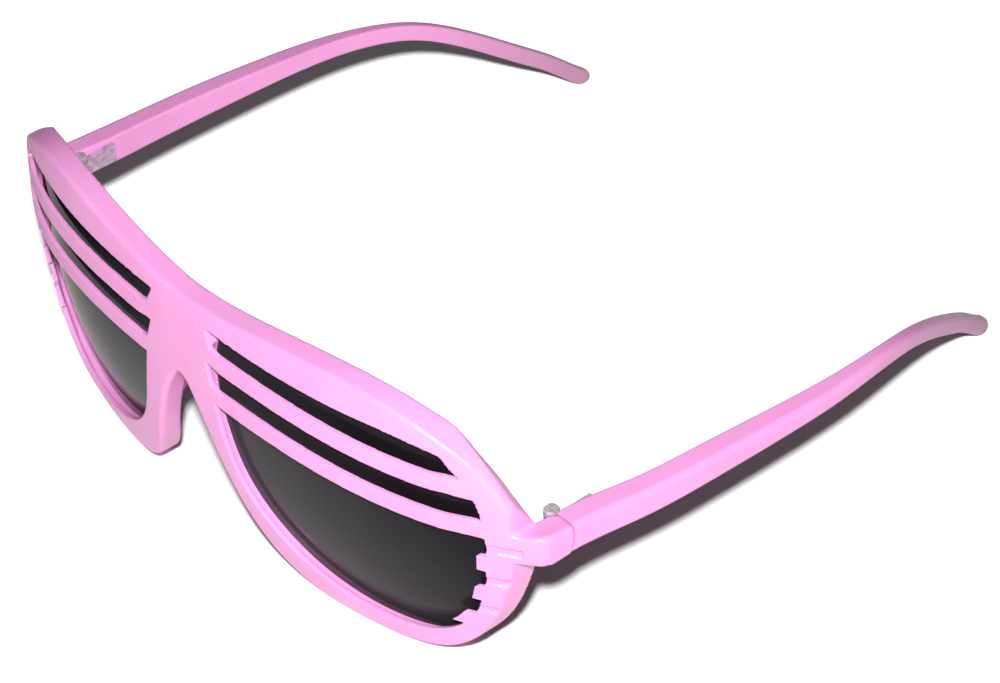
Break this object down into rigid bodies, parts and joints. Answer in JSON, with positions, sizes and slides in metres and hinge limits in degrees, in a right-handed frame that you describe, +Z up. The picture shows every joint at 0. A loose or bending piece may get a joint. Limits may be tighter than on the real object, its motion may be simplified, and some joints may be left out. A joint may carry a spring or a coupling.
{
  "type": "slatted novelty glasses",
  "caption": "Wrapped plastic novelty glasses with slats across the upper half of dark gradient lenses and two folding temples.",
  "frame": {"origin": "under the middle of the glasses, on the surface that they lie on", "axes": "+X to the wearer's left, +Y from the front towards the ears, +Z up"},
  "size_m": [0.1452, 0.1412, 0.0561],
  "materials": {
    "pink_plastic": "glossy moulded pink",
    "smoke_lens": "smoke grey gradient, dark at the top",
    "hinge_metal": "bright plated steel"
  },
  "bodies": {
    "front": {"front_frame": "pink_plastic", "lens_left": "smoke_lens", "lens_right": "smoke_lens", "hinge_front_leaf_left": "hinge_metal", "hinge_front_leaf_right": "hinge_metal", "hinge_screw_left": "hinge_metal", "hinge_screw_right": "hinge_metal"},
    "temple_left_arm": {"temple_left": "pink_plastic", "hinge_temple_leaf_left": "hinge_metal"},
    "temple_right_arm": {"temple_right": "pink_plastic", "hinge_temple_leaf_right": "hinge_metal"}
  },
  "joints": [
    {"name": "temple_left_fold", "type": "hinge", "parent": "front", "child": "temple_left_arm", "pos_m": [0.0654, -0.04503, 0.032], "axis": [0, 0, 1], "range_deg": [0, 87]},
    {"name": "temple_right_fold", "type": "hinge", "parent": "front", "child": "temple_right_arm", "pos_m": [-0.0654, -0.04503, 0.032], "axis": [0, 0, -1], "range_deg": [0, 82]}
  ]
}
